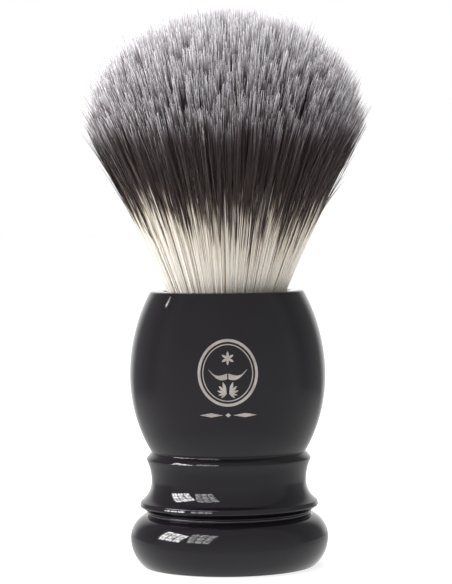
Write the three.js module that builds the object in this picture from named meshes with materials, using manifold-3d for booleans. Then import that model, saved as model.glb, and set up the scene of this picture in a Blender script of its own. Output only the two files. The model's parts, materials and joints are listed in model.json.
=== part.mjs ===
// Shaving brush: a weighted, turned handle on a bolted foot, with a fibre knot
// set in a socket at its top. Millimetres, +Z up, origin at the centre of the base.
import * as THREE from "three";
import { mergeVertices } from "three/addons/utils/BufferGeometryUtils.js";
import Module from "manifold-3d";

const wasm = await Module();
wasm.setup();

// ---------------------------------------------------------------- dimensions
const SIDES = 40;             // facets round the large turned pieces
const SMALL_SIDES = 20;       // facets round the screw, washer and insert

const FOOT_BASE_R = 17.1;     // flat ring the brush stands on
const FOOT_MAX_R = 19.8;      // widest part of the foot
const FOOT_MAX_Z = 5.6;
const FOOT_TOP_Z = 10.3;      // shoulder that meets the gasket
const FOOT_SHOULDER_R = 16.8;
const SPIGOT_R = 10.7;        // locating boss on the foot, inside the handle
const SPIGOT_TOP_Z = 13.5;

const GASKET_THICKNESS = 0.5;
const SKIRT_Z = FOOT_TOP_Z + GASKET_THICKNESS;   // bottom face of the handle
const LIP_R = 17.85;          // rounded lip above the foot joint
const NOTCH_R = 16.5;         // bottom of the groove between handle and foot
const WAIST_R = 15.5;         // narrowest part of the grip
const WAIST_Z = 17.1;
const COLLAR_R = 16.5;        // crisp edge above the waist
const CREASE_Z = 22.85;       // groove between the collar and the bulb
const BULB_R = 19.6;          // widest part of the bulb
const BULB_Z = 38.1;
const RIM_R = 15.53;          // where the bulb meets the rim's rounded edge
const RIM_Z = 55;             // top of the handle
const SOCKET_R = 12.6;        // hole for a 24 mm knot
const SOCKET_FLOOR_Z = 41;
const CHAMBER_R = 11;         // ballast chamber, open at the bottom
const CHAMBER_TOP_Z = 30;
const INSERT_BORE_R = 3.9;
const INSERT_BORE_TOP_Z = 38.5;

const PAD_R = 14.7;           // non-slip disc, flush with the foot's base
const PAD_THICKNESS = 1.2;
const PAD_RECESS_R = 14.9;
const COUNTERBORE_R = 5.6;
const COUNTERBORE_ROOF_Z = 5.5;
const BOLT_HOLE_R = 2.8;

const KNOT_R = 12;            // fibre bundle at the rim
const KNOT_SPREAD = 0.48;     // radius gained per millimetre above the rim
const TUFT_R = 27.5;          // widest part of the tuft
const TUFT_MAX_H = 34;        // height of that above the rim
const TUFT_SWELL_H = 30;      // where the flank starts to turn upright
const LOFT = 57.3;            // rim to the crown of the tuft
const CROWN_POWER = 2.05;     // superellipse exponent of the crown
const FLEX_H = 8;             // height above the rim the free fibres bend about
const FLEX_GAP = 0.3;         // running gap between the two fibre solids
const TUFT_SKIRT_H = 10;      // lower edge of the moving fibres

// ------------------------------------------------------------------ helpers
const radians = THREE.MathUtils.degToRad;
const degrees = THREE.MathUtils.radToDeg;

// An outline in (radius, height), made of straight lines and arcs.
class Outline {
  constructor(r, z) {
    this.points = [new THREE.Vector2(r, z)];
  }

  to(r, z) {
    const next = new THREE.Vector2(r, z);
    if (next.distanceTo(this.points.at(-1)) > 1e-3) this.points.push(next);
    return this;
  }

  // Arc about (cr, cz), from one angle to another in degrees; 0 points outwards.
  arc(cr, cz, radius, from, to, steps) {
    for (let i = 0; i <= steps; i++) {
      const a = radians(from + ((to - from) * i) / steps);
      this.to(cr + radius * Math.cos(a), cz + radius * Math.sin(a));
    }
    return this;
  }

  // Follows r = radiusAt(z) from one height to another.
  follow(radiusAt, from, to, steps) {
    for (let i = 0; i <= steps; i++) {
      const z = from + ((to - from) * i) / steps;
      this.to(radiusAt(z), z);
    }
    return this;
  }

  // Joins the end to the start, for a ring with a hole through it.
  close() {
    this.points.push(this.points[0].clone());
    return this;
  }
}

// Turns an outline about +Z. Outlines run anticlockwise seen with r to the right.
function turned(outline, sides = SIDES) {
  const geometry = new THREE.LatheGeometry(outline.points, sides);
  geometry.rotateX(Math.PI / 2);
  return geometry;
}

function ring(innerR, outerR, z0, z1, sides = SIDES) {
  return turned(new Outline(innerR, z0).to(outerR, z0).to(outerR, z1).to(innerR, z1).close(), sides);
}

function disc(radius, z0, z1, sides = SIDES) {
  return turned(new Outline(0, z0).to(radius, z0).to(radius, z1).to(0, z1), sides);
}

function toSolid(geometry) {
  const bare = geometry.clone();
  bare.deleteAttribute("normal");
  bare.deleteAttribute("uv");
  const merged = mergeVertices(bare, 1e-4);
  return new wasm.Manifold(new wasm.Mesh({
    numProp: 3,
    vertProperties: new Float32Array(merged.attributes.position.array),
    triVerts: new Uint32Array(merged.index.array),
  }));
}

function fromSolid(solid) {
  const mesh = solid.getMesh();
  const geometry = new THREE.BufferGeometry();
  geometry.setAttribute("position", new THREE.BufferAttribute(mesh.vertProperties, 3));
  geometry.setIndex(new THREE.BufferAttribute(mesh.triVerts, 1));
  geometry.computeVertexNormals();
  return geometry;
}

const brush = new THREE.Group();

function add(name, geometry, color, roughness, metalness = 0) {
  const mesh = new THREE.Mesh(
    geometry,
    new THREE.MeshStandardMaterial({ color, roughness, metalness }),
  );
  mesh.name = name;
  brush.add(mesh);
}

const BLACK_GLOSS = [0x101012, 0.12];
const BLACK_RUBBER = [0x1c1c1d, 0.8];
const STEEL = [0xb9bbbd, 0.35, 1];
const BRASS = [0xc9a755, 0.35, 1];

// ------------------------------------------------------------- turned handle
// Lip, waist cove, collar and bulb outside; chamber, insert bore and socket inside.
const LIP_EDGE_R = 0.5;       // round on the lip's edge
const LIP_RISE = 1.5;         // height of that edge above the skirt
const FLARE_R = 5;            // hollow from the lip up to the waist
const FLARE_START = 236;      // degrees
const COVE_R = 10;            // hollow from the waist up to the collar
const COVE_END = 154.7;       // degrees
const COLLAR_DROP = 1.35;     // collar's edge below the crease
const COLLAR_CHAMFER = 0.2;
const COLLAR_CHAMFER_H = 0.35;
const RIM_EDGE = 0.45;        // height of the rim's rounded edge
const BULB_LOWER_R = 30;
const rimInset = BULB_R - RIM_R;
const rimRise = RIM_Z - RIM_EDGE - BULB_Z;
const bulbUpperR = (rimInset ** 2 + rimRise ** 2) / (2 * rimInset);
const creaseAngle = degrees(Math.asin((CREASE_Z - BULB_Z) / BULB_LOWER_R));
const rimAngle = degrees(Math.asin(rimRise / bulbUpperR));

const handleOutline = new Outline(0, INSERT_BORE_TOP_Z)
  .to(INSERT_BORE_R, INSERT_BORE_TOP_Z)
  .to(INSERT_BORE_R, CHAMBER_TOP_Z)
  .to(CHAMBER_R, CHAMBER_TOP_Z)
  .to(CHAMBER_R, SKIRT_Z)
  .to(NOTCH_R, SKIRT_Z)
  .to(NOTCH_R + 0.1, SKIRT_Z + 0.4)
  .arc(LIP_R - LIP_EDGE_R, SKIRT_Z + LIP_RISE, LIP_EDGE_R, -50, 40, 4)
  .arc(WAIST_R + FLARE_R, WAIST_Z, FLARE_R, FLARE_START, 180, 6)
  .arc(WAIST_R + COVE_R, WAIST_Z, COVE_R, 180, COVE_END, 5)
  .to(COLLAR_R, CREASE_Z - COLLAR_DROP)
  .to(COLLAR_R - COLLAR_CHAMFER, CREASE_Z - COLLAR_DROP + COLLAR_CHAMFER_H)
  .arc(BULB_R - BULB_LOWER_R, BULB_Z, BULB_LOWER_R, creaseAngle, 0, 8)
  .arc(BULB_R - bulbUpperR, BULB_Z, bulbUpperR, 0, rimAngle, 8)
  .to(RIM_R - RIM_EDGE * 0.4, RIM_Z - RIM_EDGE / 3)
  .to(RIM_R - RIM_EDGE * 1.3, RIM_Z)
  .to(SOCKET_R + 0.3, RIM_Z)
  .to(SOCKET_R, RIM_Z - 0.3)
  .to(SOCKET_R, SOCKET_FLOOR_Z)
  .to(0, SOCKET_FLOOR_Z);
add("handle_body", turned(handleOutline), ...BLACK_GLOSS);

// --------------------------------------------------------------------- foot
const FOOT_LOWER_R = 7.3;     // round from the base out to the widest part
const FOOT_BASE_ANGLE = -48;
const FOOT_UPPER_R = 5.2;     // round from there in to the shoulder
const FOOT_SHOULDER_ANGLE = 63;
const footOutline = new Outline(BOLT_HOLE_R, COUNTERBORE_ROOF_Z)
  .to(COUNTERBORE_R, COUNTERBORE_ROOF_Z)
  .to(COUNTERBORE_R, PAD_THICKNESS)
  .to(PAD_RECESS_R, PAD_THICKNESS)
  .to(PAD_RECESS_R, 0)
  .to(FOOT_BASE_R - 0.2, 0)
  .arc(FOOT_MAX_R - FOOT_LOWER_R, FOOT_MAX_Z, FOOT_LOWER_R, FOOT_BASE_ANGLE, 0, 6)
  .arc(FOOT_MAX_R - FOOT_UPPER_R, FOOT_MAX_Z, FOOT_UPPER_R, 0, FOOT_SHOULDER_ANGLE, 6)
  .to(FOOT_SHOULDER_R, FOOT_TOP_Z)
  .to(SPIGOT_R, FOOT_TOP_Z)
  .to(SPIGOT_R, SPIGOT_TOP_Z)
  .to(BOLT_HOLE_R, SPIGOT_TOP_Z)
  .close();
add("foot", turned(footOutline), ...BLACK_GLOSS);

add("foot_gasket", ring(CHAMBER_R - 0.1, NOTCH_R - 0.15, FOOT_TOP_Z, SKIRT_Z), ...BLACK_RUBBER);
add("base_pad", disc(PAD_R, 0, PAD_THICKNESS), 0x2a2a2b, 0.9);

// ------------------------------------------------------------------ ballast
// A steel slug fills the chamber; a soft washer above it keeps it from rattling.
const SLUG_BORE_R = 3;        // clears the tie screw
const SLUG_TOP_Z = 29.4;
const CHAMFER = 0.5;
const BALLAST_PAD_BORE_R = 4.3;
const slugOutline = new Outline(SLUG_BORE_R, SPIGOT_TOP_Z)
  .to(SPIGOT_R - CHAMFER, SPIGOT_TOP_Z)
  .to(SPIGOT_R, SPIGOT_TOP_Z + CHAMFER)
  .to(SPIGOT_R, SLUG_TOP_Z - CHAMFER)
  .to(SPIGOT_R - CHAMFER, SLUG_TOP_Z)
  .to(SLUG_BORE_R, SLUG_TOP_Z)
  .close();
add("ballast_slug", turned(slugOutline), ...STEEL);
add("ballast_pad", ring(BALLAST_PAD_BORE_R, SPIGOT_R, SLUG_TOP_Z, CHAMBER_TOP_Z), 0x55565a, 0.9);

// ------------------------------------------------- tie screw, washer, insert
// An M5 socket screw pulls the foot against the handle through the slug.
const HEAD_R = 4.5;
const HEAD_Z0 = 1.7;
const HEAD_Z1 = 4.7;
const SCREW_R = 2.5;
const THREAD_ROOT_R = 2.1;
const THREAD_PITCH = 0.8;
const THREAD_START_Z = 28;
const THREAD_TURNS = 10;
const SCREW_TIP_Z = THREAD_START_Z + THREAD_TURNS * THREAD_PITCH + 0.4;
const KEY_ACROSS_FLATS = 4;
const KEY_DEPTH = 2;

const screwOutline = new Outline(0, HEAD_Z0)
  .to(HEAD_R - 0.3, HEAD_Z0)
  .to(HEAD_R, HEAD_Z0 + 0.3)
  .to(HEAD_R, HEAD_Z1)
  .to(SCREW_R, HEAD_Z1)
  .to(SCREW_R, THREAD_START_Z);
for (let i = 0; i < THREAD_TURNS; i++) {
  const z = THREAD_START_Z + i * THREAD_PITCH;
  screwOutline.to(SCREW_R, z + THREAD_PITCH * 0.1)
    .to(THREAD_ROOT_R, z + THREAD_PITCH * 0.5)
    .to(SCREW_R, z + THREAD_PITCH * 0.9);
}
screwOutline.to(THREAD_ROOT_R, SCREW_TIP_Z)
  .to(0, SCREW_TIP_Z);

const keyCornerR = KEY_ACROSS_FLATS / Math.sqrt(3);
const keySocket = new THREE.CylinderGeometry(keyCornerR, keyCornerR, 2 * KEY_DEPTH, 6);
keySocket.rotateX(Math.PI / 2);
keySocket.translate(0, 0, HEAD_Z0);
add(
  "tie_screw",
  fromSolid(toSolid(turned(screwOutline, SMALL_SIDES)).subtract(toSolid(keySocket))),
  ...STEEL,
);

// Split spring washer, flattened between the screw head and the counterbore.
const WASHER_SPLIT = 12;      // half the split, in degrees
const washerShape = new THREE.Shape();
washerShape.absarc(0, 0, HEAD_R + 0.1, radians(WASHER_SPLIT), radians(360 - WASHER_SPLIT), false);
washerShape.absarc(0, 0, SCREW_R + 0.2, radians(360 - WASHER_SPLIT), radians(WASHER_SPLIT), true);
const washer = new THREE.ExtrudeGeometry(washerShape, {
  depth: COUNTERBORE_ROOF_Z - HEAD_Z1,
  bevelEnabled: false,
  curveSegments: SMALL_SIDES,
});
washer.translate(0, 0, HEAD_Z1);
add("spring_washer", washer, ...STEEL);

// Brass insert, grooved outside to hold in the resin.
const INSERT_R = 3.7;
const INSERT_TOP_Z = 37.5;
const insertOutline = new Outline(SCREW_R + 0.2, CHAMBER_TOP_Z).to(INSERT_R, CHAMBER_TOP_Z);
for (const groove of [32, 34.2]) {
  insertOutline.to(INSERT_R, groove)
    .to(INSERT_R - 0.35, groove + 0.25)
    .to(INSERT_R - 0.35, groove + 0.95)
    .to(INSERT_R, groove + 1.2);
}
insertOutline.to(INSERT_R, INSERT_TOP_Z - 0.4)
  .to(INSERT_R - 0.4, INSERT_TOP_Z)
  .to(SCREW_R + 0.2, INSERT_TOP_Z)
  .close();
add("thread_insert", turned(insertOutline, SMALL_SIDES), ...BRASS);

// --------------------------------------------------------------- knot mounting
// The knot's cup is bedded in adhesive in the socket; resin grips the fibre butts.
const GLUE_THICKNESS = 0.6;
const GLUE_TOP_Z = 50;
const CUP_Z = SOCKET_FLOOR_Z + GLUE_THICKNESS;
const CUP_R = 12.2;
const CUP_BORE_R = 11.8;
const CUP_FLOOR = 0.8;
const CUP_TOP_Z = 50.6;
const PLUG_TOP_Z = 47;
const CLEARANCE = 0.05;       // keeps neighbouring faceted walls apart
const glueOutline = new Outline(0, SOCKET_FLOOR_Z)
  .to(SOCKET_R - CLEARANCE, SOCKET_FLOOR_Z)
  .to(SOCKET_R - CLEARANCE, GLUE_TOP_Z)
  .to(CUP_R + CLEARANCE, GLUE_TOP_Z)
  .to(CUP_R + CLEARANCE, CUP_Z)
  .to(0, CUP_Z);
add("adhesive_bed", turned(glueOutline), 0xcbb98a, 0.4);

const cupOutline = new Outline(0, CUP_Z)
  .to(CUP_R, CUP_Z)
  .to(CUP_R, CUP_TOP_Z)
  .to(CUP_BORE_R, CUP_TOP_Z)
  .to(CUP_BORE_R, CUP_Z + CUP_FLOOR)
  .to(0, CUP_Z + CUP_FLOOR);
add("knot_cup", turned(cupOutline), 0xd8d6cf, 0.5);

add("resin_plug", disc(CUP_BORE_R - 0.1, CUP_Z + CUP_FLOOR, PLUG_TOP_Z), 0xb9a06a, 0.3);

// Thread whipped round the fibres just above the plug.
const WHIPPING_R = 11.45;
const WHIPPING_THREAD_R = 0.25;
const WHIPPING_PITCH = 0.65;
const WHIPPING_TURNS = 4;

class Helix extends THREE.Curve {
  getPoint(t, target = new THREE.Vector3()) {
    const a = 2 * Math.PI * WHIPPING_TURNS * t;
    return target.set(
      WHIPPING_R * Math.cos(a),
      WHIPPING_R * Math.sin(a),
      PLUG_TOP_Z + 0.5 + WHIPPING_PITCH * WHIPPING_TURNS * t,
    );
  }
}

const threadSection = new THREE.Shape();
threadSection.absarc(0, 0, WHIPPING_THREAD_R, 0, 2 * Math.PI, false);
const whipping = new THREE.ExtrudeGeometry(threadSection, {
  steps: WHIPPING_TURNS * 24,
  curveSegments: 4,
  extrudePath: new Helix(),
});
add("binding_thread", whipping, 0xe4dfd2, 0.8);

// -------------------------------------------------------------------- fibres
const swellR = KNOT_R + KNOT_SPREAD * TUFT_SWELL_H;
// This power makes the swell leave the straight flank at the flank's own slope.
const swellPower = (KNOT_SPREAD * (TUFT_MAX_H - TUFT_SWELL_H)) / (TUFT_R - swellR);

// Radius of the tuft at height h above the rim.
function tuftRadius(h) {
  if (h <= TUFT_SWELL_H) return KNOT_R + KNOT_SPREAD * h;
  if (h <= TUFT_MAX_H) {
    const s = (TUFT_MAX_H - h) / (TUFT_MAX_H - TUFT_SWELL_H);
    return TUFT_R - (TUFT_R - swellR) * s ** swellPower;
  }
  const s = Math.min(1, (h - TUFT_MAX_H) / (LOFT - TUFT_MAX_H));
  return TUFT_R * (1 - s ** CROWN_POWER) ** (1 / CROWN_POWER);
}

// Fixed bundle: whipped waist, socket mouth, spreading cone, and a dome centred
// on the flexing point so that the moving fibres can swing over it.
const flexZ = RIM_Z + FLEX_H;
const domeR = tuftRadius(FLEX_H);
const whippedR = WHIPPING_R - WHIPPING_THREAD_R - 0.2;
const rootsOutline = new Outline(0, PLUG_TOP_Z)
  .to(whippedR, PLUG_TOP_Z)
  .to(whippedR, CUP_TOP_Z - 0.2)
  .to(KNOT_R - 0.1, CUP_TOP_Z + 0.9)
  .to(KNOT_R, RIM_Z)
  .arc(0, flexZ, domeR, 0, 90, 14);
add("fibre_roots", turned(rootsOutline), 0xe2d9c6, 0.85);

// Moving tuft: hollow beneath to match that dome, swelling to a rounded crown.
const hollowR = domeR + FLEX_GAP;
const skirtLift = TUFT_SKIRT_H - FLEX_H;
const skirtAngle = degrees(Math.asin(skirtLift / hollowR));
const tuftOutline = new Outline(0, flexZ + hollowR)
  .arc(0, flexZ, hollowR, 90, skirtAngle, 14)
  .follow((z) => tuftRadius(z - RIM_Z), RIM_Z + TUFT_SKIRT_H, RIM_Z + TUFT_MAX_H, 8);
const CROWN_STEPS = 12;
for (let i = 1; i <= CROWN_STEPS; i++) {
  // Even steps of the superellipse's own angle keep the crown's facets similar.
  const a = (i / CROWN_STEPS) * (Math.PI / 2);
  const h = TUFT_MAX_H + (LOFT - TUFT_MAX_H) * Math.sin(a) ** (2 / CROWN_POWER);
  tuftOutline.to(i < CROWN_STEPS ? tuftRadius(h) : 0, RIM_Z + h);
}
add("fibre_tuft", turned(tuftOutline), 0x8b8584, 0.85);

export default brush;
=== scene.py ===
"""Looks of the shaving brush: a glossy black turned handle and a knot of banded fibres.

Every turned piece is turned again from its CAD outline, finely. The knot is built fibre by fibre.
"""

import json
import math

import bmesh
import bpy
import numpy as np
from mathutils import Euler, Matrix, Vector


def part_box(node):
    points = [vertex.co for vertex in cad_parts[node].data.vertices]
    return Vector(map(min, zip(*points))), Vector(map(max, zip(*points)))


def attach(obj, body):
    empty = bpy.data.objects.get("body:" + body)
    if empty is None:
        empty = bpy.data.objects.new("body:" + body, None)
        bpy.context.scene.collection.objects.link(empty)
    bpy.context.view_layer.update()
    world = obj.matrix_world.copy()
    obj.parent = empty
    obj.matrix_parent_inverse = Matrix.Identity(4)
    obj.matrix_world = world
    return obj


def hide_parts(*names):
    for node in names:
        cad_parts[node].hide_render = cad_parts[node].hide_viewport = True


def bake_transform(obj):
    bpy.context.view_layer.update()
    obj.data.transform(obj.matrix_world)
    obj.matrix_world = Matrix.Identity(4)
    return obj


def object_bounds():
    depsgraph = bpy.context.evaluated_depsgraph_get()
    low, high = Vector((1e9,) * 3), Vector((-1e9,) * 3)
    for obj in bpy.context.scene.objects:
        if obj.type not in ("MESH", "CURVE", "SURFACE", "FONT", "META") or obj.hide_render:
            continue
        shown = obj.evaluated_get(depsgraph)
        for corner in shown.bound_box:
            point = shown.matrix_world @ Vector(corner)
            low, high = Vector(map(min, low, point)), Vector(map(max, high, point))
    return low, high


MM = 0.001
MICRON = 1e-6             # outline points are rounded to whole microns
ON_AXIS = 1e-7            # a radius smaller than this counts as none, in metres
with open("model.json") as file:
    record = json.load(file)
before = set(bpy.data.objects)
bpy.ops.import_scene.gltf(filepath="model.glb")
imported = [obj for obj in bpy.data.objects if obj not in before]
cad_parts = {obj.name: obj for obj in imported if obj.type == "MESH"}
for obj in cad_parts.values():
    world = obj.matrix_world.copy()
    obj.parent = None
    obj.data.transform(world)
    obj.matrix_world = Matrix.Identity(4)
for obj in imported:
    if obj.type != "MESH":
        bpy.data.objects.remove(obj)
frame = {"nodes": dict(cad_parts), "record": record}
NODES = frame["nodes"]
CAD_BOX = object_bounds()

# Heights that the frame gives, in metres.
RIM_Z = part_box("handle_body")[1].z
PLUG_TOP_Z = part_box("resin_plug")[1].z
THREAD_TOP_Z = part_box("binding_thread")[1].z
CUP_TOP_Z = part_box("knot_cup")[1].z
CROWN_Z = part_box("fibre_tuft")[1].z


# ------------------------------------------------------------------ node helpers
def emptied(owner):
    """The owner's emptied node tree and a function that adds nodes to it."""
    owner.use_nodes = True
    tree = owner.node_tree
    tree.nodes.clear()

    def node(kind, **settings):
        made = tree.nodes.new(kind)
        for key, value in settings.items():
            if key in made.inputs:
                made.inputs[key].default_value = value
            else:
                setattr(made, key, value)
        return made

    return tree, node


def new_material(name):
    """An empty node material, its tree and a function that adds nodes to it."""
    material = bpy.data.materials.new(name)
    return (material, *emptied(material))


def principled(tree, node, **inputs):
    """The material's shader, joined to its output."""
    shader = node("ShaderNodeBsdfPrincipled")
    for key, value in inputs.items():
        shader.inputs[key.replace("_", " ")].default_value = value
    output = node("ShaderNodeOutputMaterial")
    tree.links.new(shader.outputs["BSDF"], output.inputs["Surface"])
    return shader


def ramp(node, stops, interpolation="LINEAR"):
    """A colour ramp from (place, (r, g, b)) pairs."""
    made = node("ShaderNodeValToRGB")
    made.color_ramp.interpolation = interpolation
    elements = made.color_ramp.elements
    while len(elements) < len(stops):
        elements.new(0.5)
    for element, (place, colour) in zip(elements, stops):
        element.position = place
        element.color = (*colour, 1)
    return made


def map_range(node, source=(0, 1), target=(0, 1), **settings):
    """A node that maps one range of values onto another."""
    made = node("ShaderNodeMapRange", **settings)
    for name, value in zip(("From Min", "From Max", "To Min", "To Max"), (*source, *target)):
        made.inputs[name].default_value = value
    return made


def noisy_colour(tree, node, scale, dark, light, stretch=(1, 1, 1)):
    """Colour that drifts between two shades, and the noise behind it, in metres of object space."""
    where = node("ShaderNodeTexCoord")
    mapping = node("ShaderNodeMapping")
    mapping.inputs["Scale"].default_value = stretch
    noise = node("ShaderNodeTexNoise", Scale=scale, Detail=6.0)
    shades = ramp(node, [(0.3, dark), (0.7, light)])
    tree.links.new(where.outputs["Object"], mapping.inputs["Vector"])
    tree.links.new(mapping.outputs["Vector"], noise.inputs["Vector"])
    tree.links.new(noise.outputs["Fac"], shades.inputs["Fac"])
    return shades.outputs["Color"], noise.outputs["Fac"]


def add_bump(tree, node, shader, height, strength, distance):
    """Roughens a shader's surface by a height between 0 and 1 over a distance."""
    bump = node("ShaderNodeBump", Strength=strength, Distance=distance)
    tree.links.new(height, bump.inputs["Height"])
    tree.links.new(bump.outputs["Normal"], shader.inputs["Normal"])


# --------------------------------------------------------------------- materials
def gloss_resin():
    """Polished black resin: deep gloss, faintly clouded in its colour and its polish."""
    material, tree, node = new_material("black_resin")
    shader = principled(tree, node, IOR=1.46)
    colour, cloud = noisy_colour(tree, node, 60, (0.0035, 0.0024, 0.0042), (0.0065, 0.0049, 0.0076))
    tree.links.new(colour, shader.inputs["Base Color"])
    polish = map_range(node, target=(0.04, 0.09))
    tree.links.new(cloud, polish.inputs["Value"])
    tree.links.new(polish.outputs["Result"], shader.inputs["Roughness"])
    return material


def plain(name, scale, dark, light, bump=0.0, stretch=(1, 1, 1), **inputs):
    """A surface of two close shades, with a matching bump of the given height."""
    material, tree, node = new_material(name)
    shader = principled(tree, node, **inputs)
    colour, grain = noisy_colour(tree, node, scale, dark, light, stretch)
    tree.links.new(colour, shader.inputs["Base Color"])
    if bump:
        add_bump(tree, node, shader, grain, strength=0.4, distance=bump)
    return material


FIBRE_KINDS = 256         # fibre colourings, one per column of the fibre map
FIBRE_SPAN = 66 * MM      # length of fibre that the map's height stands for
TIP_BAND = 5.6 * MM       # pale tip, measured from the tip
DARK_BAND = 20.5 * MM     # end of the dark band, measured from the tip


def fibre_material():
    """Banded fibre: white tip, lilac-grey fade, near-black band and cream root.

    The map's u picks the fibre's kind and v is the distance from its tip.
    """
    material, tree, node = new_material("banded_fibre")
    shader = principled(tree, node, Roughness=0.5, Specular_IOR_Level=0.15, Subsurface_Weight=0.6,
                        Subsurface_Scale=0.1 * MM, Subsurface_Radius=(1, 1, 1))
    uv = node("ShaderNodeUVMap", uv_map="OFBake")
    parts = node("ShaderNodeSeparateXYZ")
    tree.links.new(uv.outputs["UV"], parts.inputs["Vector"])

    tip, dark = TIP_BAND / FIBRE_SPAN, DARK_BAND / FIBRE_SPAN
    bands = ramp(node, [
        (0.0, (0.90, 0.89, 0.91)),
        (tip * 0.2, (0.47, 0.455, 0.48)),
        (tip * 0.6, (0.19, 0.172, 0.187)),
        (tip * 0.95, (0.085, 0.066, 0.071)),
        (tip * 1.2, (0.058, 0.043, 0.043)),
        (dark * 0.9, (0.064, 0.046, 0.043)),
        (dark * 0.98, (0.19, 0.14, 0.11)),
        (dark * 1.06, (0.80, 0.73, 0.62)),
        (dark * 1.3, (0.93, 0.868, 0.775)),
        (1.0, (0.94, 0.878, 0.785)),
    ])
    tree.links.new(parts.outputs["Y"], bands.inputs["Fac"])

    column = node("ShaderNodeMath", operation="MULTIPLY")
    column.inputs[1].default_value = FIBRE_KINDS
    whole = node("ShaderNodeMath", operation="FLOOR")
    kind = node("ShaderNodeTexWhiteNoise", noise_dimensions="1D")
    tree.links.new(parts.outputs["X"], column.inputs[0])
    tree.links.new(column.outputs[0], whole.inputs[0])
    tree.links.new(whole.outputs[0], kind.inputs["W"])

    tint = ramp(node, [
        (0.0, (0.58, 0.56, 0.58)),
        (0.3, (0.88, 0.86, 0.88)),
        (0.7, (1.0, 0.985, 0.97)),
        (1.0, (1.0, 0.93, 0.86)),
    ])
    tree.links.new(kind.outputs["Value"], tint.inputs["Fac"])
    # How much fibres differ: most in the grey fade, least at tip and root.
    difference = ramp(node, [
        (0.0, (0.2, 0.2, 0.2)),
        (tip * 0.7, (1, 1, 1)),
        (tip * 1.3, (0.6, 0.6, 0.6)),
        (dark * 0.9, (0.6, 0.6, 0.6)),
        (dark * 1.1, (0.3, 0.3, 0.3)),
    ])
    tree.links.new(parts.outputs["Y"], difference.inputs["Fac"])
    mixed = node("ShaderNodeMix", data_type="RGBA", blend_type="MULTIPLY")
    tree.links.new(difference.outputs["Color"], mixed.inputs["Factor"])
    tree.links.new(bands.outputs["Color"], mixed.inputs["A"])
    tree.links.new(tint.outputs["Color"], mixed.inputs["B"])
    tree.links.new(mixed.outputs["Result"], shader.inputs["Base Color"])
    return material


def foil_material():
    """Hot-stamped silver foil, slightly rosy and unevenly bright."""
    material, tree, node = new_material("foil")
    shader = principled(tree, node, Metallic=0.85, Roughness=0.34)
    colour, grain = noisy_colour(tree, node, 420, (0.46, 0.41, 0.39), (0.66, 0.61, 0.585))
    tree.links.new(colour, shader.inputs["Base Color"])
    add_bump(tree, node, shader, grain, strength=0.25, distance=0.02 * MM)
    return material


MATERIALS = {
    "black_resin": gloss_resin(),
    "black_rubber": plain("black_rubber", 2500, (0.06, 0.06, 0.061), (0.085, 0.085, 0.086),
                          bump=0.05 * MM, Roughness=0.72),
    "smooth_rubber": plain("smooth_rubber", 900, (0.03, 0.03, 0.031), (0.045, 0.045, 0.046),
                           Roughness=0.2),
    "steel": plain("steel", 900, (0.42, 0.42, 0.43), (0.6, 0.6, 0.61), bump=0.01 * MM,
                   stretch=(1, 1, 6), Metallic=1.0, Roughness=0.32),
    "grey_foam": plain("grey_foam", 3200, (0.06, 0.061, 0.066), (0.13, 0.132, 0.14),
                       bump=0.12 * MM, Roughness=0.9),
    "brass": plain("brass", 700, (0.5, 0.34, 0.1), (0.66, 0.47, 0.17), bump=0.01 * MM,
                   Metallic=1.0, Roughness=0.3),
    "adhesive": plain("adhesive", 500, (0.5, 0.38, 0.18), (0.66, 0.54, 0.3), bump=0.06 * MM,
                      Roughness=0.35),
    "cup_plastic": plain("cup_plastic", 1200, (0.62, 0.6, 0.54), (0.72, 0.7, 0.64),
                         bump=0.02 * MM, Roughness=0.45),
    "amber_resin": plain("amber_resin", 300, (0.4, 0.26, 0.09), (0.55, 0.4, 0.17), Roughness=0.2),
    "thread": plain("thread", 5000, (0.66, 0.62, 0.53), (0.84, 0.8, 0.71), bump=0.06 * MM,
                    Roughness=0.85),
    "fibre_banded": fibre_material(),
    "foil": foil_material(),
}
SLOT_OF = {part["node"]: part["material_slot"] for part in frame["record"]["subparts"]}


def set_material(obj, name):
    """Gives an object one of the materials, and no other."""
    obj.data.materials.clear()
    obj.data.materials.append(MATERIALS[name])


# ------------------------------------------------------------------ turned pieces
def outline_of(name):
    """A turned node's outline as (r, z) points in metres, from its section on the +X side."""
    mesh = NODES[name].data
    place = {}
    for vertex in mesh.vertices:
        if abs(vertex.co.y) < MICRON and vertex.co.x > -MICRON:
            place[vertex.index] = (round(max(vertex.co.x, 0), 6), round(vertex.co.z, 6))
    joined = {}
    for edge in mesh.edges:
        a, b = (place.get(v) for v in edge.vertices)
        if a is None or b is None or a == b or (a[0] == 0 and b[0] == 0):
            continue
        joined.setdefault(a, set()).add(b)
        joined.setdefault(b, set()).add(a)
    # Edges across a flat face also join points further apart, so each step goes to the nearest point.
    ends = sorted(p for p in joined if p[0] == 0)
    start = ends[0] if ends else min(joined)
    path, seen, here = [start], {start}, start
    while True:
        onward = sorted((q for q in joined[here] if q not in seen), key=lambda q: math.dist(here, q))
        if not onward:
            break
        here = onward[0]
        seen.add(here)
        path.append(here)
    return np.array(path), not ends


def turn_angle(a, b, c):
    """Degrees by which a path from a to c bends at b."""
    u, v = b - a, c - b
    cos = u @ v / (np.linalg.norm(u) * np.linalg.norm(v))
    return math.degrees(math.acos(max(-1.0, min(1.0, cos))))


def spline(p0, p1, p2, p3, t):
    """The place at t between p1 and p2 on a smooth curve through four points."""
    return 0.5 * (2 * p1 + (p2 - p0) * t + (2 * p0 - 5 * p1 + 4 * p2 - p3) * t * t
                  + (3 * p1 - p0 - 3 * p2 + p3) * t ** 3)


def towards(point, other, distance):
    """The place at a distance from a point on the way to another."""
    way = other - point
    return point + way / np.linalg.norm(way) * distance


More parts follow.
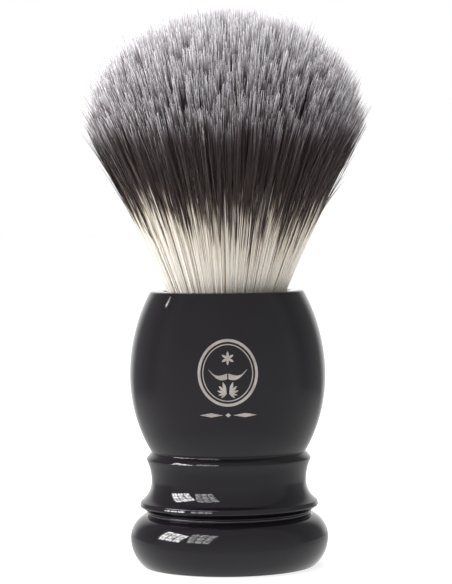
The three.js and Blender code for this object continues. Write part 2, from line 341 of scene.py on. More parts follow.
def round_off(before, point, after, fillet):
    """A corner's rounded course, which takes up less than half of either side."""
    most = 0.4
    cut = min(fillet, most * np.linalg.norm(before - point), most * np.linalg.norm(after - point))
    a, b = towards(point, before, cut), towards(point, after, cut)
    return [(1 - t) ** 2 * a + 2 * t * (1 - t) * point + t * t * b for t in (0, 0.25, 0.5, 0.75, 1)]


def refine(points, closed, fillet=0.3 * MM, corner=24, spacing=0.45 * MM):
    """Spline through the gentle bends of an outline, with a small round on each sharp corner.

    A corner is sharp when it turns by more degrees than the corner argument.
    """
    count = len(points)
    sharp = [
        (closed or 0 < i < count - 1)
        and turn_angle(points[i - 1], points[i], points[(i + 1) % count]) > corner
        for i in range(count)
    ]
    if not closed:
        sharp[0] = sharp[-1] = True
    made = []
    last = count if closed else count - 1
    for i in range(last):
        j = (i + 1) % count
        p1, p2 = points[i], points[j]
        p0 = 2 * p1 - p2 if sharp[i] else points[i - 1]
        p3 = 2 * p2 - p1 if sharp[j] else points[(j + 1) % count]
        straight = sharp[i] and sharp[j]
        steps = 1 if straight else max(1, math.ceil(np.linalg.norm(p2 - p1) / spacing))
        for step in range(steps):
            made.append((spline(p0, p1, p2, p3, step / steps), sharp[i] and step == 0))
    if not closed:
        made.append((points[-1], False))
        made[0] = (made[0][0], False)
    rounded = []
    for i, (point, is_corner) in enumerate(made):
        if is_corner:
            rounded += round_off(made[i - 1][0], point, made[(i + 1) % len(made)][0], fillet)
        else:
            rounded.append(point)
    return np.array(rounded)


def turn(name, outline, closed, sides):
    """Turns an outline about +Z into a closed mesh, with a map of angle against outline length."""
    count = len(outline)
    angles = np.arange(sides) * 2 * math.pi / sides
    vertices, index = [], {}
    for i, (r, z) in enumerate(outline):
        if r < ON_AXIS:
            index[i] = [len(vertices)] * sides
            vertices.append((0, 0, z))
        else:
            index[i] = list(range(len(vertices), len(vertices) + sides))
            vertices += [(r * math.cos(a), r * math.sin(a), z) for a in angles]
    sides_of_outline = np.diff(np.vstack([outline, outline[:1]]), axis=0)
    length = np.concatenate([[0], np.cumsum(np.linalg.norm(sides_of_outline, axis=1))])
    length /= length[-1]
    faces, maps = [], []
    for i in range(count if closed else count - 1):
        low, high = index[i], index[(i + 1) % count]
        for k in range(sides):
            after = (k + 1) % sides
            u0, u1 = k / sides, (k + 1) / sides
            corners = [(low[k], u0, length[i]), (low[after], u1, length[i]),
                       (high[after], u1, length[i + 1]), (high[k], u0, length[i + 1])]
            kept = []
            for corner in corners:
                if all(corner[0] != other[0] for other in kept):
                    kept.append(corner)
            faces.append([c[0] for c in kept])
            maps.append([c[1:] for c in kept])
    mesh = bpy.data.meshes.new(name)
    mesh.from_pydata(vertices, [], faces)
    layer = mesh.uv_layers.new(name="OFBake")
    layer.data.foreach_set("uv", [x for face in maps for corner in face for x in corner])
    mesh.polygons.foreach_set("use_smooth", [True] * len(faces))
    obj = bpy.data.objects.new(name, mesh)
    bpy.context.scene.collection.objects.link(obj)
    outward = bmesh.new()
    outward.from_mesh(mesh)
    bmesh.ops.recalc_face_normals(outward, faces=outward.faces)
    outward.to_mesh(mesh)
    outward.free()
    return obj


def ribbed(outline):
    """Cuts shallow rings into the underside of the base pad, for grip."""
    first, pitch, margin = 2.0 * MM, 1.5 * MM, 1.2 * MM
    half_mouth, half_bed, depth = 0.35 * MM, 0.2 * MM, 0.28 * MM
    low = outline[:, 1].min()
    rim = outline[:, 0].max()
    ribs = [np.array([0, low])]
    for centre in np.arange(first, rim - margin, pitch):
        for dr, dz in ((-half_mouth, 0), (-half_bed, depth), (half_bed, depth), (half_mouth, 0)):
            ribs.append(np.array([centre + dr, low + dz]))
    rest = [p for p in outline if not (p[1] < low + MICRON / 2 and p[0] < rim - MICRON)]
    if rest[0][1] > rest[-1][1]:
        rest.reverse()
    return np.array(ribs + rest)


OUTLINES = {}
# Each turned piece, and how many sides it is turned with.
TURNED = {
    "handle_body": 224, "foot": 224, "foot_gasket": 160, "base_pad": 160, "ballast_slug": 128,
    "ballast_pad": 128, "thread_insert": 96, "adhesive_bed": 128, "knot_cup": 128, "resin_plug": 128,
}
for node_name, sides in TURNED.items():
    section, is_ring = outline_of(node_name)
    if node_name == "base_pad":
        section = ribbed(section)
    fine = refine(section, is_ring)
    OUTLINES[node_name] = fine
    piece = turn("turned_" + node_name, fine, is_ring, sides)
    set_material(piece, "smooth_rubber" if node_name == "foot_gasket" else SLOT_OF[node_name])
    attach(piece, "handle")
    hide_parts(node_name)

for node_name in ("tie_screw", "spring_washer", "binding_thread"):
    set_material(NODES[node_name], SLOT_OF[node_name])


# ------------------------------------------------------------------- foil emblem
def bulb_radius(z):
    """Outside radius of the bulb at a height, from the handle's outline."""
    outside = OUTLINES["handle_body"]
    widest = outside[np.argmax(outside[:, 0])]
    reach, least = 14 * MM, 0.75 * widest[0]     # leaves out the grip and the hollows inside
    wall = [p for p in outside if p[0] > least and abs(p[1] - widest[1]) < reach]
    wall = np.array(sorted(wall, key=lambda p: p[1]))
    return np.interp(z, wall[:, 1], wall[:, 0])


def ellipse(cy, rx, ry, steps=72):
    """Points round an upright ellipse on the emblem's centre line."""
    angles = [2 * math.pi * i / steps for i in range(steps)]
    return [(rx * math.cos(a), cy + ry * math.sin(a)) for a in angles]


def lobes(cx, cy, lengths, first, step, valley, steps=6):
    """Pointed lobes round a centre as one outline, from the angle of the first, in degrees.

    A valley's depth is a share of its lobe's length.
    """
    rays = [(first + step * (i + k / steps / 2), length * (1 - (1 - valley) * abs(k) / steps))
            for i, length in enumerate(lengths) for k in range(-steps, steps)]
    if abs(step) * len(lengths) < 360:     # a fan closes through its centre
        rays += [(first + step * (len(lengths) - 0.5), valley * lengths[-1]), (0, 0)]
    return [(cx + r * math.cos(math.radians(a)), cy + r * math.sin(math.radians(a))) for a, r in rays]


def whisker(side, steps=24):
    """Half of a curled moustache: it sags beside the middle and its point curls up."""
    gap, length, sag, curl, thickness, blunt = 0.12, 3.65, 0.35, 1.25, 0.95, 0.04
    upper, lower = [], []
    for i in range(steps + 1):
        t = i / steps
        x = side * (gap + length * t)
        middle = curl * t ** 3.2 - sag * math.sin(math.pi * min(1, t * 1.1))
        body = thickness * (1 - t) ** 0.75 * (0.55 + 0.45 * math.sin(math.pi * min(1, 0.25 + t)))
        upper.append((x, middle + body * 0.55 + blunt))
        lower.append((x, middle - body * 0.65 - blunt))
    return upper + lower[::-1]


def emblem_shapes():
    """Foil areas as (outline, holes) in millimetres from the middle of the moustache.

    They are two rings, the moustache, leaves below it, a star above it, and lozenges under the rings.
    """
    ring_y, half_width, half_height = 0.6, 5.9, 6.5
    rings = [
        [ellipse(ring_y, half_width - inset, half_height - inset) for inset in edges]
        for edges in ((0, 0.55), (0.95, 1.15))
    ]
    shapes = [(outer, [inner]) for outer, inner in rings]
    shapes += [(whisker(1), []), (whisker(-1), [])]
    leaves = [2.4 - 0.25 * i for i in range(5)]
    stem_x, stem_y, star_y = 0.25, -3.4, 3.4
    for side in (1, -1):
        fan = lobes(side * stem_x, stem_y, leaves, 90 - side * 18, -side * 27, valley=0.55)
        shapes.append((fan, []))
    shapes.append((lobes(0, star_y, [1.35] * 6, 90, 60, valley=0.3), []))
    y, rise = -7.6, 0.42
    for x, reach in ((0, 0.55), (3.4, 2.4), (-3.4, 2.4)):
        shapes.append(([(x - reach, y), (x, y - rise), (x + reach, y), (x, y + rise)], []))
    return shapes


def foil_emblem(centre_z, thickness=0.035 * MM, grid=0.5, reach=9.0):
    """Fills the shapes, cuts them finely enough to bend, and lays them on the bulb's front.

    The grid that cuts them and how far it reaches from the middle are in millimetres.
    """
    made = bmesh.new()
    for outline, holes in emblem_shapes():
        edges = []
        for loop in [outline] + holes:
            ring = [made.verts.new((x, y, 0)) for x, y in loop]
            edges += [made.edges.new((ring[i - 1], ring[i])) for i in range(len(ring))]
        bmesh.ops.triangle_fill(made, use_beauty=True, use_dissolve=False, edges=edges)
    for axis in (0, 1):
        for place in np.arange(-reach, reach + grid / 2, grid):
            where, normal = Vector((0, 0, 0)), Vector((0, 0, 0))
            where[axis], normal[axis] = place, 1
            geometry = made.verts[:] + made.edges[:] + made.faces[:]
            bmesh.ops.bisect_plane(made, geom=geometry, dist=1e-5, plane_co=where, plane_no=normal)
    bmesh.ops.remove_doubles(made, verts=made.verts, dist=1e-4)
    bmesh.ops.recalc_face_normals(made, faces=made.faces)
    for face in made.faces:
        if face.normal.z < 0:
            face.normal_flip()
    skirt = bmesh.ops.extrude_face_region(made, geom=made.faces[:])
    raised = {v for v in skirt["geom"] if isinstance(v, bmesh.types.BMVert)}
    widest = OUTLINES["handle_body"][:, 0].max()
    for vertex in made.verts:
        x, z = vertex.co.x * MM, centre_z + vertex.co.y * MM
        angle = x / widest
        r = bulb_radius(z) + (thickness if vertex in raised else -thickness)
        vertex.co = (r * math.sin(angle), -r * math.cos(angle), z)
    bmesh.ops.recalc_face_normals(made, faces=made.faces)
    mesh = bpy.data.meshes.new("foil_emblem")
    made.to_mesh(mesh)
    made.free()
    obj = bpy.data.objects.new("foil_emblem", mesh)
    bpy.context.scene.collection.objects.link(obj)
    return obj


EMBLEM_H = 39.2 * MM      # height of the moustache above the ground
emblem = foil_emblem(CAD_BOX[0].z + EMBLEM_H)
set_material(emblem, "foil")
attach(emblem, "handle")


# ------------------------------------------------------------------------ fibres
LOCKS = 2700              # small locks of fibres that cling together at their tips
FIBRES_PER_LOCK = 8
LOCK_WIDTH = 0.42         # how far its fibres spread, as a share of the gap between locks
FIBRE_R = 0.068 * MM
TIP_SHARE = 0.28          # share of that radius that is left at the tip
TAPER = 7 * MM            # length over which it is reached
ROOT_SWELL = 0.75         # how much thicker a fibre is at its root than halfway up
SWELL_FROM, SWELL_TO = 14 * MM, 28 * MM      # where it thickens, measured from the tip
rng = np.random.default_rng(11)

NECK_R = 11.9 * MM        # bundle at the rim
THREAD_GRIP = 0.75 * MM   # how far the bundle keeps inside the binding thread's outer radius
NECK_START = 1 * MM       # height over the cup at which the bundle has its full radius
ROOT_GAP = 0.2 * MM       # height over the plug at which the fibres start
SPREAD = 0.43             # outermost fibre: radius gained per unit of height
OPENING = 2.0             # and how much faster it gains it higher up, per metre
TIP_DRAW = 0.02           # share by which the tips are drawn in
LOWEST_TIP = 28 * MM      # no fibre ends lower than this above the rim, unless it droops or is short
CROWN_H = CROWN_Z - RIM_Z

# How far out in the bundle a fibre or a lock is, as a share of the bundle's radius.
LOCK_EDGE = 0.995         # outermost lock
FIBRE_EDGE = 0.998        # outermost fibre
FLANK = 0.93              # the flank that shows from the side begins here
CORE_EDGE = 0.72          # the core, which is made more coarsely, ends here

# Shares of the fibres that differ from the rest.
SHORT = 0.06              # end low
STREAKED = 0.07           # are bleached well down into the dark band
WORN = 0.45               # have lost their bleached end; this many at the edge, and none in the middle
LATE_FLANK, LATE = 0.12, 0.03                # stay dark for longer, on the flank and elsewhere

tuft_section, _ = outline_of("fibre_tuft")
TUFT_SIDE = tuft_section[np.argmin(tuft_section[:, 1]):]


def crown_radius(h):
    """Radius of the tuft's outside at a height above the rim, from its CAD outline."""
    return np.interp(RIM_Z + h, TUFT_SIDE[:, 1], TUFT_SIDE[:, 0])


def bundle_radius(h):
    """Radius of the whole bundle: whipped waist, socket, then a slowly opening fan above the rim."""
    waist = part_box("binding_thread")[1].x - THREAD_GRIP
    inside = np.interp(h, [THREAD_TOP_Z - RIM_Z, CUP_TOP_Z + NECK_START - RIM_Z], [waist, NECK_R])
    return np.where(h < 0, inside, NECK_R + SPREAD * h + OPENING * h ** 2)


def tip_height(share):
    """Height at which a fibre that starts at this share of the bundle's radius meets the crown."""
    h = np.linspace(LOWEST_TIP, CROWN_H, 400)
    reached = crown_radius(h) / ((1 - TIP_DRAW) * bundle_radius(h))
    return np.interp(share, reached[::-1], h[::-1])


def lock_centres():
    """Evenly scattered places in the unit disc, one for each lock, and the gap between them."""
    i = np.arange(LOCKS)
    radius = np.sqrt((i + 0.5) / LOCKS)
    angle = i * math.pi * (3 - math.sqrt(5))
    gap = math.sqrt(math.pi / LOCKS)
    stray = 0.45 * gap
    centres = np.stack([radius * np.cos(angle), radius * np.sin(angle)], 1)
    centres += rng.uniform(-stray, stray, centres.shape)
    over = np.maximum(1, np.linalg.norm(centres, axis=1) / LOCK_EDGE)
    return centres / over[:, None], gap


def scatter_fibres():
    """Everything that tells one fibre from another, as arrays with one row per fibre.

    Draws that are multiplied by MM are in millimetres.
    """
    centres, gap = lock_centres()
    lock = np.repeat(np.arange(LOCKS), FIBRES_PER_LOCK)
    count = len(lock)

    def by_lock(spread, *axes):
        return rng.normal(0, spread, (LOCKS, *axes))[lock]

    def by_fibre(spread, *axes):
        return rng.normal(0, spread, (count, *axes))

    def between(low, high):
        return rng.uniform(low, high, count)

    def chance(odds):
        return rng.random(count) < odds

    start = centres[lock] + by_fibre(LOCK_WIDTH, 2) * gap
    share = np.linalg.norm(start, axis=1)
    start /= np.maximum(1, share / FIBRE_EDGE)[:, None]
    share = np.minimum(share, FIBRE_EDGE)
    lock_share = np.linalg.norm(centres, axis=1)[lock]
    droop = by_lock(0.45) * MM
    trim = np.abs(by_fibre(0.8)) * MM
    trim += chance(SHORT) * between(1, 5) * MM
    worn = chance(WORN * share ** 2)
    streaked = chance(STREAKED)
    late = chance(np.where(share > FLANK, LATE_FLANK, LATE))
    # The flank's fibres have shorter pale tips, and the left flank's the shortest.
    left = np.clip(-start[:, 0], 0, 1)
    tip_loss = (0.6 + 0.2 * left) * TIP_BAND * share ** 6
    # The cream starts higher at the sides, and highest on the left.
    aside = np.clip(np.abs(start[:, 0]) - 0.05, 0, 0.5)
    rise = aside * np.where(start[:, 0] < 0, 4.5, 2.0) * MM
    return {
        "centre": centres[lock],
        "away": start - centres[lock],
        "tip": tip_height(0.5 * share + 0.5 * lock_share) + droop - trim,
        "pinch": np.clip(0.7 + by_lock(0.16), 0.2, 0.95),
        "lean": (by_lock(0.6, 2) + by_fibre(0.4, 2)) * MM,
        "wave": by_fibre(0.16, 2) * MM,
        "beat": between(0.7, 1.6),
        "phase": between(0, 2 * math.pi),
        "tip_band": (by_lock(1.7) + by_fibre(1.0) + streaked * between(3, 9)) * MM - tip_loss,
        "whitest": worn * between(0.2, 1.0) * TIP_BAND,
        "root_band": (by_lock(2.0) + by_fibre(1.5) + late * between(1, 7)) * MM - rise,
        "kind": rng.integers(0, FIBRE_KINDS, count),
        "share": share,
    }


def fibre_paths(fibre, stations):
    """Centre lines: an array of fibres by stations by (x, y, z). A station under 0 is inside the socket."""
    tip = fibre["tip"][:, None]
    socket = np.minimum(stations, 0) * (RIM_Z - PLUG_TOP_Z - ROOT_GAP)
    h = np.where(stations < 0, socket, stations * tip)
    up = np.clip(h / tip, 0, 1)
    loose = 0.25                                 # share of the length below which locks don't gather
    gather = np.clip((up - loose) / (1 - loose), 0, 1)
    gather = gather * gather * (3 - 2 * gather)
    radius = bundle_radius(h) * (1 - TIP_DRAW * up ** 2)
    across = fibre["centre"][:, None, :] + fibre["away"][:, None, :] * (
        1 - fibre["pinch"][:, None] * gather)[:, :, None]
    xy = across * radius[:, :, None]
    xy += fibre["lean"][:, None, :] * (up ** 3)[:, :, None]
    swing = np.sin(2 * math.pi * fibre["beat"][:, None] * up + fibre["phase"][:, None]) * up
    xy += fibre["wave"][:, None, :] * swing[:, :, None]
    return np.concatenate([xy, (RIM_Z + h)[:, :, None]], axis=2)


def band_coordinate(fibre, from_tip):
    """Distance from the tip over the map's span, shifted to start each fibre's bands in their own place."""
    shortest_tip, shortest_dark, edge = 0.3 * MM, 8 * MM, 0.002
    pale = np.maximum(TIP_BAND + fibre["tip_band"], shortest_tip)[:, None]
    dark = np.maximum(DARK_BAND + fibre["root_band"], TIP_BAND + shortest_dark)[:, None]
    first = from_tip / pale * TIP_BAND
    second = TIP_BAND + (from_tip - pale) / (dark - pale) * (DARK_BAND - TIP_BAND)
    third = DARK_BAND + from_tip - dark
    v = np.where(from_tip < pale, first, np.where(from_tip < dark, second, third))
    v = np.maximum(v, fibre["whitest"][:, None])
    return np.clip(v / FIBRE_SPAN, edge, 1 - edge)


def fibre_mesh(name, fibre, stations):
    """Three-sided tapering fibres as one mesh object."""
    paths = fibre_paths(fibre, stations)
    count, steps, _ = paths.shape
    along = np.gradient(paths, axis=1)
    along /= np.linalg.norm(along, axis=2, keepdims=True)
    side = np.cross(along, np.array([0.0, 1.0, 0.0]))
    side /= np.linalg.norm(side, axis=2, keepdims=True)
    other = np.cross(along, side)
    gaps = np.linalg.norm(np.diff(paths, axis=1), axis=2)
    from_tip = np.concatenate([np.cumsum(gaps[:, ::-1], axis=1)[:, ::-1], np.zeros((count, 1))], axis=1)
    radius = FIBRE_R * (TIP_SHARE + (1 - TIP_SHARE) * np.clip(from_tip / TAPER, 0, 1) ** 0.6)
    radius *= 1 + ROOT_SWELL * np.clip((from_tip - SWELL_FROM) / (SWELL_TO - SWELL_FROM), 0, 1)
    corners = np.arange(3)
    spin = fibre["phase"][:, None, None] + corners * 2 * math.pi / 3
    ring = np.cos(spin)[..., None] * side[:, :, None, :] + np.sin(spin)[..., None] * other[:, :, None, :]
    vertices = paths[:, :, None, :] + ring * radius[:, :, None, None]

    first = np.arange(count) * steps * 3
    level = first[:, None, None] + (np.arange(steps - 1) * 3)[:, None]
    low, following = level + corners, level + (corners + 1) % 3
    quads = np.stack([low, following, following + 3, low + 3], axis=-1).reshape(-1, 4)
    base = first[:, None] + corners[::-1]
    cap = first[:, None] + (steps - 1) * 3 + corners

    v = band_coordinate(fibre, from_tip)
    margin = 0.1                                 # of the fibre's column, left free at either side
    across = (fibre["kind"][:, None, None] + margin + corners / 2 * (1 - 2 * margin)) / FIBRE_KINDS
    uv = np.stack(np.broadcast_arrays(across, v[:, :, None]), axis=-1).reshape(-1, 2)

    mesh = bpy.data.meshes.new(name)
    vertices = vertices.reshape(-1, 3)
    triangles = np.concatenate([base, cap])
    loops = np.concatenate([quads.ravel(), triangles.ravel()]).astype(np.int32)
    starts = np.concatenate([
        np.arange(len(quads)) * 4, len(quads) * 4 + np.arange(len(triangles)) * 3]).astype(np.int32)
    mesh.vertices.add(len(vertices))
    mesh.vertices.foreach_set("co", vertices.astype(np.float32).ravel())
    mesh.loops.add(len(loops))
    mesh.loops.foreach_set("vertex_index", loops)
    mesh.polygons.add(len(starts))
    mesh.polygons.foreach_set("loop_start", starts)
    mesh.polygons.foreach_set("use_smooth", np.ones(len(starts), bool))
    mesh.update(calc_edges=True)
    layer = mesh.uv_layers.new(name="OFBake")
    layer.data.foreach_set("uv", uv[loops].astype(np.float32).ravel())
    obj = bpy.data.objects.new(name, mesh)
    bpy.context.scene.collection.objects.link(obj)
    return obj


def pick(fibre, chosen):
    """Some of the fibres, with everything that tells them apart."""
    return {key: value[chosen] for key, value in fibre.items()}


def loosen_strays(fibre, strays=170):
    """A few outer fibres stand away from the flank and end below its edge, dark to the tip."""
    outer = np.flatnonzero(fibre["share"] > FLANK)
    stray = rng.choice(outer, strays, replace=False)
    push = rng.uniform(0.4, 1.9, (strays, 1)) * MM
    outwards = fibre["centre"][stray] / np.linalg.norm(fibre["centre"][stray], axis=1, keepdims=True)
    fibre["lean"][stray] += outwards * push + rng.normal(0, 0.6, (strays, 2)) * MM
    fibre["wave"][stray] += rng.normal(0, 0.35, (strays, 2)) * MM
    drop = rng.uniform(0, 12, strays) * MM
    fibre["tip"][stray] -= drop
    fibre["root_band"][stray] -= 0.8 * drop
    fibre["whitest"][stray] = 1.2 * TIP_BAND


# Where a fibre has points: from -1 at its root to 0 at the rim, and on to 1 at its tip.
FINE = np.array([-1, -0.6, -0.42, 0, 0.15, 0.3, 0.45, 0.6, 0.74, 0.87, 1.0])
COARSE = np.array([-1, -0.6, -0.42, 0, 0.35, 0.65, 0.85, 1.0])


def knot_pieces(fibre, sectors=7, cores=4):
    """The knot's pieces as (name, fibres, stations): sectors of its outside, and equal shares of its core."""
    angle = np.arctan2(fibre["centre"][:, 1], fibre["centre"][:, 0])
    sector = ((angle + math.pi) / (2 * math.pi) * sectors).astype(int) % sectors
    outside = fibre["share"] > CORE_EDGE
    pieces = [
        (f"knot_outer_{number + 1}", np.flatnonzero(outside & (sector == number)), FINE)
        for number in range(sectors)
    ]
    for number, members in enumerate(np.array_split(np.flatnonzero(~outside), cores)):
        pieces.append((f"knot_core_{number + 1}", members, COARSE))
    return pieces


fibres = scatter_fibres()
loosen_strays(fibres)
for name, chosen, stations in knot_pieces(fibres):
    piece = fibre_mesh(name, pick(fibres, chosen), stations)
    set_material(piece, "fibre_banded")
    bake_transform(piece)
    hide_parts("fibre_roots", "fibre_tuft")


# ------------------------------------------------------------------------- stage
GRIP_TOP_Z = 24 * MM      # the bulb starts here; the windows are mirrored below it only
FLOOR_GAP = 0.02 * MM     # keeps the floor clear of the foot
FLOOR_REACH = 6.0         # from the middle to each side, in metres
WINDOW_DISTANCE = 1.1     # in metres
FILL_DISTANCE = 0.9
GLASS_SHARE = 0.86        # share of a window pane's width and height that isn't bars


def surround_shade(tree, node, direction):
    """Brightness of the studio by direction: soft in front, dark at the sides and overhead, white behind."""
    level = node("ShaderNodeVectorMath", operation="MULTIPLY")
    level.inputs[1].default_value = (1, 1, 0)
    unit = node("ShaderNodeVectorMath", operation="NORMALIZE")
    parts = node("ShaderNodeSeparateXYZ")
    whole_unit = node("ShaderNodeVectorMath", operation="NORMALIZE")
    whole_parts = node("ShaderNodeSeparateXYZ")
    overhead = node("ShaderNodeMath", operation="MULTIPLY_ADD")
    loss_upwards, at_level = -0.39, 1.15
    overhead.inputs[1].default_value = loss_upwards
    overhead.inputs[2].default_value = at_level
    product = node("ShaderNodeMath", operation="MULTIPLY")
    spread = map_range(node, source=(-1, 1))
    shade = ramp(node, [
        (0.0, (0.60, 0.60, 0.60)),
        (0.4, (0.55, 0.55, 0.55)),
        (0.62, (0.34, 0.34, 0.34)),
        (0.86, (0.30, 0.30, 0.30)),
        (0.97, (1.0, 1.0, 1.0)),
    ], "EASE")
    tree.links.new(direction, level.inputs[0])
    tree.links.new(level.outputs["Vector"], unit.inputs[0])
    tree.links.new(unit.outputs["Vector"], parts.inputs["Vector"])
    tree.links.new(parts.outputs["Y"], spread.inputs["Value"])
    tree.links.new(spread.outputs["Result"], shade.inputs["Fac"])
    tree.links.new(direction, whole_unit.inputs[0])
    tree.links.new(whole_unit.outputs["Vector"], whole_parts.inputs["Vector"])
    tree.links.new(whole_parts.outputs["Z"], overhead.inputs[0])
    tree.links.new(shade.outputs["Color"], product.inputs[0])
    tree.links.new(overhead.outputs[0], product.inputs[1])
    return product.outputs[0]


def floor_material():
    """Matte white paper lit from beneath as well, so that shadows on it stay faint.

    Reflections see it brightest round the foot and fading into the surroundings, with no horizon.
    """
    material, tree, node = new_material("floor")
    shader = principled(tree, node, Roughness=0.8, Specular_IOR_Level=0.1)
    colour, _ = noisy_colour(tree, node, 3, (0.33, 0.33, 0.33), (0.34, 0.34, 0.34))
    tree.links.new(colour, shader.inputs["Base Color"])
    shader.inputs["Emission Color"].default_value = (1, 1, 1, 1)
    path = node("ShaderNodeLightPath")
    glow = map_range(node, target=(0.6, 0.8))
    tree.links.new(path.outputs["Is Camera Ray"], glow.inputs["Value"])
    tree.links.new(glow.outputs["Result"], shader.inputs["Emission Strength"])

    where = node("ShaderNodeTexCoord")
    away = node("ShaderNodeVectorMath", operation="LENGTH")
    near = map_range(node, source=(20 * MM, 50 * MM), target=(1.0, 0.7))
    falloff = map_range(node, source=(45 * MM, 300 * MM), interpolation_type="SMOOTHSTEP")
    reflected = node("ShaderNodeMix", data_type="FLOAT")
    mirrored = node("ShaderNodeEmission")
    mix = node("ShaderNodeMixShader")
    output = next(n for n in tree.nodes if n.type == "OUTPUT_MATERIAL")
    tree.links.new(where.outputs["Object"], away.inputs[0])
    tree.links.new(away.outputs["Value"], near.inputs["Value"])
    tree.links.new(away.outputs["Value"], falloff.inputs["Value"])
    tree.links.new(falloff.outputs["Result"], reflected.inputs["Factor"])
    tree.links.new(near.outputs["Result"], reflected.inputs["A"])
    tree.links.new(surround_shade(tree, node, where.outputs["Object"]), reflected.inputs["B"])
    tree.links.new(reflected.outputs["Result"], mirrored.inputs["Strength"])
    tree.links.new(path.outputs["Is Glossy Ray"], mix.inputs["Fac"])
    tree.links.new(shader.outputs["BSDF"], mix.inputs[1])
    tree.links.new(mirrored.outputs["Emission"], mix.inputs[2])
    tree.links.new(mix.outputs["Shader"], output.inputs["Surface"])
    return material


def make_floor():
    """A square sheet of paper under the brush."""
    mesh = bpy.data.meshes.new("floor")
    corners = [(x * FLOOR_REACH, y * FLOOR_REACH, 0) for x, y in ((-1, -1), (1, -1), (1, 1), (-1, 1))]
    mesh.from_pydata(corners, [], [(0, 1, 2, 3)])
    obj = bpy.data.objects.new("floor", mesh)
    bpy.context.scene.collection.objects.link(obj)
    obj.location.z = CAD_BOX[0].z - FLOOR_GAP
    mesh.materials.append(floor_material())


def place_facing(obj, azimuth, elevation, target_z, distance):
    """Stands an object off in a direction, turned to face the brush at a height."""
    a, e = math.radians(azimuth), math.radians(elevation)
    back = Vector((math.sin(a) * math.cos(e), -math.cos(a) * math.cos(e), math.sin(e)))
    obj.location = Vector((0, 0, target_z)) + back * distance
    obj.rotation_mode = "QUATERNION"
    obj.rotation_quaternion = (-back).to_track_quat("-Z", "Y")
    bpy.context.scene.collection.objects.link(obj)


def window_material(brightness, seen_from):
    """Glow that shows only in reflections that start between two heights."""
    material, tree, node = new_material("window")
    material.cycles.emission_sampling = "NONE"
    here = node("ShaderNodeNewGeometry")
    path = node("ShaderNodeLightPath")
    travelled = node("ShaderNodeVectorMath", operation="SCALE")
    start = node("ShaderNodeVectorMath", operation="ADD")
    parts = node("ShaderNodeSeparateXYZ")
    within = node("ShaderNodeMath", operation="COMPARE")
    within.inputs[1].default_value = (seen_from[0] + seen_from[1]) / 2
    within.inputs[2].default_value = (seen_from[1] - seen_from[0]) / 2
    clear = node("ShaderNodeBsdfTransparent")
    light = node("ShaderNodeEmission")
    outdoors = node("ShaderNodeTexNoise", Scale=16, Detail=2)
    view = map_range(node, source=(0.4, 0.6), target=(0.35 * brightness, 1.3 * brightness))
    mix = node("ShaderNodeMixShader")
    output = node("ShaderNodeOutputMaterial")
    tree.links.new(here.outputs["Incoming"], travelled.inputs[0])
    tree.links.new(path.outputs["Ray Length"], travelled.inputs["Scale"])
    tree.links.new(here.outputs["Position"], start.inputs[0])
    tree.links.new(travelled.outputs["Vector"], start.inputs[1])
    tree.links.new(start.outputs["Vector"], parts.inputs["Vector"])
    tree.links.new(parts.outputs["Z"], within.inputs[0])
    tree.links.new(within.outputs[0], mix.inputs["Fac"])
    tree.links.new(here.outputs["Position"], outdoors.inputs["Vector"])
    tree.links.new(outdoors.outputs["Fac"], view.inputs["Value"])
    tree.links.new(view.outputs["Result"], light.inputs["Strength"])
    tree.links.new(clear.outputs["BSDF"], mix.inputs[1])
    tree.links.new(light.outputs["Emission"], mix.inputs[2])
    tree.links.new(mix.outputs["Shader"], output.inputs["Surface"])
    return material


def add_window(azimuth, elevation, width, height, brightness, seen_from, columns=3, rows=3):
    """Window panes with bars between them, mirrored in part of the handle and lighting nothing."""
    vertices, faces = [], []
    glass_x, glass_y = GLASS_SHARE * width / columns, GLASS_SHARE * height / rows
    for i in range(columns):
        for j in range(rows):
            x, y = ((i + 0.5) / columns - 0.5) * width, ((j + 0.5) / rows - 0.5) * height
            faces.append([len(vertices) + k for k in range(4)])
            vertices += [(x + sx * glass_x / 2, y + sy * glass_y / 2, 0)
                         for sx, sy in ((-1, -1), (1, -1), (1, 1), (-1, 1))]
    mesh = bpy.data.meshes.new("window")
    mesh.from_pydata(vertices, [], faces)
    mesh.materials.append(window_material(brightness, seen_from))
    obj = bpy.data.objects.new("window", mesh)
    obj.visible_camera = obj.visible_diffuse = obj.visible_shadow = False
    place_facing(obj, azimuth, elevation, target_z=GRIP_TOP_Z / 2, distance=WINDOW_DISTANCE)


def add_fill(azimuth, elevation, size, power):
    """A large soft light that brightens the fibres but isn't mirrored in the handle."""
    light = bpy.data.lights.new("fill", "AREA")
    light.size = size
    light.energy = power
    obj = bpy.data.objects.new("fill", light)
    obj.visible_camera = obj.visible_glossy = False
    place_facing(obj, azimuth, elevation, target_z=RIM_Z, distance=FILL_DISTANCE)


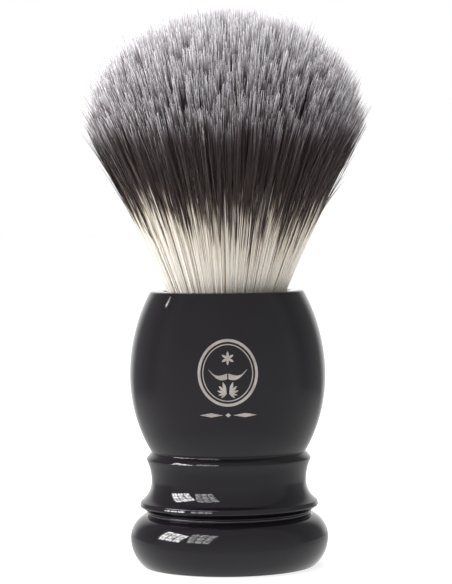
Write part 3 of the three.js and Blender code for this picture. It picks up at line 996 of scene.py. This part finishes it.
def make_world():
    """The studio's surroundings for light and reflections, pure white to the camera."""
    world = bpy.data.worlds.new("surroundings")
    tree, node = emptied(world)
    where = node("ShaderNodeTexCoord")
    lit = node("ShaderNodeBackground")
    tree.links.new(surround_shade(tree, node, where.outputs["Generated"]), lit.inputs["Strength"])
    seen = node("ShaderNodeBackground")
    seen.inputs["Color"].default_value = lit.inputs["Color"].default_value = (1, 1, 1, 1)
    path = node("ShaderNodeLightPath")
    mix = node("ShaderNodeMixShader")
    output = node("ShaderNodeOutputWorld")
    tree.links.new(path.outputs["Is Camera Ray"], mix.inputs["Fac"])
    tree.links.new(lit.outputs["Background"], mix.inputs[1])
    tree.links.new(seen.outputs["Background"], mix.inputs[2])
    tree.links.new(mix.outputs["Shader"], output.inputs["Surface"])
    bpy.context.scene.world = world


def make_camera():
    """A long lens in front of the brush, tilted slightly down and to one side."""
    data = bpy.data.cameras.new("camera")
    data.lens, data.sensor_width = 144.9, 36
    camera = bpy.data.objects.new("camera", data)
    bpy.context.scene.collection.objects.link(camera)
    camera.location = (-0.16 * MM, -470 * MM, 71.1 * MM)
    pitch, roll = math.radians(2.0), math.radians(0.65)
    look = Euler((math.pi / 2 - pitch, 0, 0)).to_quaternion()
    camera.rotation_mode = "QUATERNION"
    camera.rotation_quaternion = look @ Euler((0, 0, -roll)).to_quaternion()
    data.clip_start, data.clip_end = 0.01, 50
    bpy.context.scene.camera = camera


make_floor()
make_world()
BELOW_BULB, ON_BULB = (0, GRIP_TOP_Z), (GRIP_TOP_Z, RIM_Z)
add_window(-78, 30, width=0.63, height=0.58, brightness=22, seen_from=BELOW_BULB)
add_window(-38, 36, width=0.54, height=0.75, brightness=8, seen_from=BELOW_BULB)
add_window(-102, 32, width=0.05, height=0.1, brightness=14, seen_from=ON_BULB, columns=1, rows=1)
add_fill(azimuth=-95, elevation=48, size=0.6, power=8)
add_fill(azimuth=-68, elevation=15, size=0.6, power=4.4)
add_fill(azimuth=-47, elevation=60, size=0.35, power=1.9)
add_fill(azimuth=0, elevation=80, size=0.5, power=3.6)
add_fill(azimuth=180, elevation=30, size=1.0, power=8)
make_camera()
# The fibres deep in the knot are lit by one another, which takes many bounces.
bpy.context.scene.cycles.diffuse_bounces = 12
bpy.context.scene.view_settings.view_transform = "Standard"
bpy.context.scene.view_settings.look = "None"
